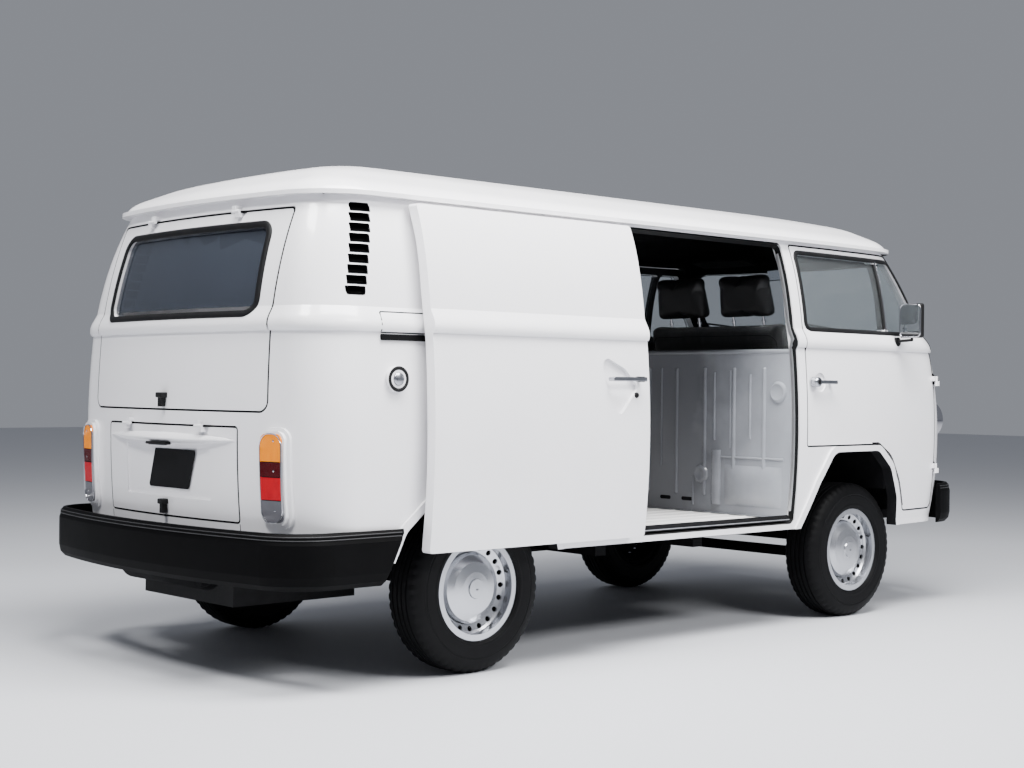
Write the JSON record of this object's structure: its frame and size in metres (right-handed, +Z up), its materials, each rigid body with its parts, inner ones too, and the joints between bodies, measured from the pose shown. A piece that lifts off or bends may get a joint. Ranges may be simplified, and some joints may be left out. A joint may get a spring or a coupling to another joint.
{
  "type": "panel van",
  "caption": "Rear-engined panel van with a high load floor, ribbed bulkhead, lifting tailgate and engine lid, opening cab doors and a side sliding door standing open.",
  "frame": {"origin": "on the ground, at the middle of the length between the bumper faces and at the middle of the width", "axes": "+X forward, +Y to the van's left, +Z up"},
  "size_m": [4.5048, 1.94, 1.9483],
  "materials": {
    "white_paint": "gloss",
    "clear_glass": "gloss",
    "tyre": "matte",
    "rim_silver": "satin",
    "chassis_black": "satin",
    "cast_alloy": "matte",
    "seat_cloth": "matte",
    "black_plastic": "matte",
    "bright_chrome": "gloss",
    "red_lens": "gloss",
    "amber_lens": "gloss"
  },
  "bodies": {
    "body": {"arch_panels": "white_paint", "bulkhead": "white_paint", "bumper_front": "black_plastic", "bumper_rear": "black_plastic", "cab_floor": "white_paint", "dashboard": "black_plastic", "engine_deck": "white_paint", "frame_rails": "chassis_black", "fresh_air_grille": "black_plastic", "front_axle": "chassis_black", "front_indicators": "amber_lens", "fuel_cap": "white_paint", "headlamp_glasses": "clear_glass", "lamp_rims": "bright_chrome", "load_floor": "white_paint", "nose_panel": "white_paint", "powertrain": "cast_alloy", "rear_suspension": "chassis_black", "roof": "white_paint", "seat_bench": "seat_cloth", "seat_driver": "seat_cloth", "side_frame_right": "white_paint", "side_panel_left": "white_paint", "side_panel_right": "white_paint", "slide_arms": "chassis_black", "slide_handle": "bright_chrome", "slide_track": "chassis_black", "sliding_door": "white_paint", "steering_wheel": "black_plastic", "tail_frame": "white_paint", "tail_lamp_lenses": "red_lens", "windscreen": "clear_glass", "windscreen_frame": "white_paint"},
    "door_left": {"door_left": "white_paint", "door_glass_left": "clear_glass", "door_handle_left": "bright_chrome", "mirror_left": "black_plastic"},
    "door_right": {"door_right": "white_paint", "door_glass_right": "clear_glass", "door_handle_right": "bright_chrome", "mirror_right": "black_plastic"},
    "tailgate": {"tailgate": "white_paint", "tailgate_glass": "clear_glass", "tailgate_lock": "black_plastic"},
    "engine_lid": {"engine_lid": "white_paint", "lid_lock": "black_plastic"},
    "knuckle_left": {"knuckle_left": "chassis_black"},
    "knuckle_right": {"knuckle_right": "chassis_black"},
    "wheel_front_left": {"tyre_front_left": "tyre", "rim_front_left": "rim_silver"},
    "wheel_front_right": {"tyre_front_right": "tyre", "rim_front_right": "rim_silver"},
    "wheel_rear_left": {"tyre_rear_left": "tyre", "rim_rear_left": "rim_silver"},
    "wheel_rear_right": {"tyre_rear_right": "tyre", "rim_rear_right": "rim_silver"}
  },
  "joints": [
    {"name": "steer_left", "type": "hinge", "parent": "body", "child": "knuckle_left", "pos_m": [1.1475, 0.6, 0.318], "axis": [0, 0, 1], "range_deg": [-30, 30]},
    {"name": "steer_right", "type": "hinge", "parent": "body", "child": "knuckle_right", "pos_m": [1.1475, -0.6, 0.318], "axis": [0, 0, 1], "range_deg": [-30, 30]},
    {"name": "spin_front_left", "type": "hinge", "parent": "knuckle_left", "child": "wheel_front_left", "pos_m": [1.1475, 0.6975, 0.318], "axis": [0, 1, 0], "continuous": true},
    {"name": "spin_front_right", "type": "hinge", "parent": "knuckle_right", "child": "wheel_front_right", "pos_m": [1.1475, -0.6975, 0.318], "axis": [0, 1, 0], "continuous": true},
    {"name": "spin_rear_left", "type": "hinge", "parent": "body", "child": "wheel_rear_left", "pos_m": [-1.2525, 0.72, 0.318], "axis": [0, 1, 0], "continuous": true},
    {"name": "spin_rear_right", "type": "hinge", "parent": "body", "child": "wheel_rear_right", "pos_m": [-1.2525, -0.72, 0.318], "axis": [0, 1, 0], "continuous": true},
    {"name": "door_left_swing", "type": "hinge", "parent": "body", "child": "door_left", "pos_m": [1.8265, 0.80126, 0.9], "axis": [0, 0, -1], "range_deg": [0, 68]},
    {"name": "door_right_swing", "type": "hinge", "parent": "body", "child": "door_right", "pos_m": [1.8265, -0.80126, 0.9], "axis": [0, 0, 1], "range_deg": [0, 68]},
    {"name": "tailgate_lift", "type": "hinge", "parent": "body", "child": "tailgate", "pos_m": [-2.01598, 0, 1.716], "axis": [0, 1, 0], "range_deg": [0, 82]},
    {"name": "engine_lid_lift", "type": "hinge", "parent": "body", "child": "engine_lid", "pos_m": [-2.14194, 0, 0.928], "axis": [0, 1, 0], "range_deg": [0, 75]}
  ],
  "couplings": [
    {"joint": "steer_right", "follows": "steer_left", "ratio": 1}
  ]
}
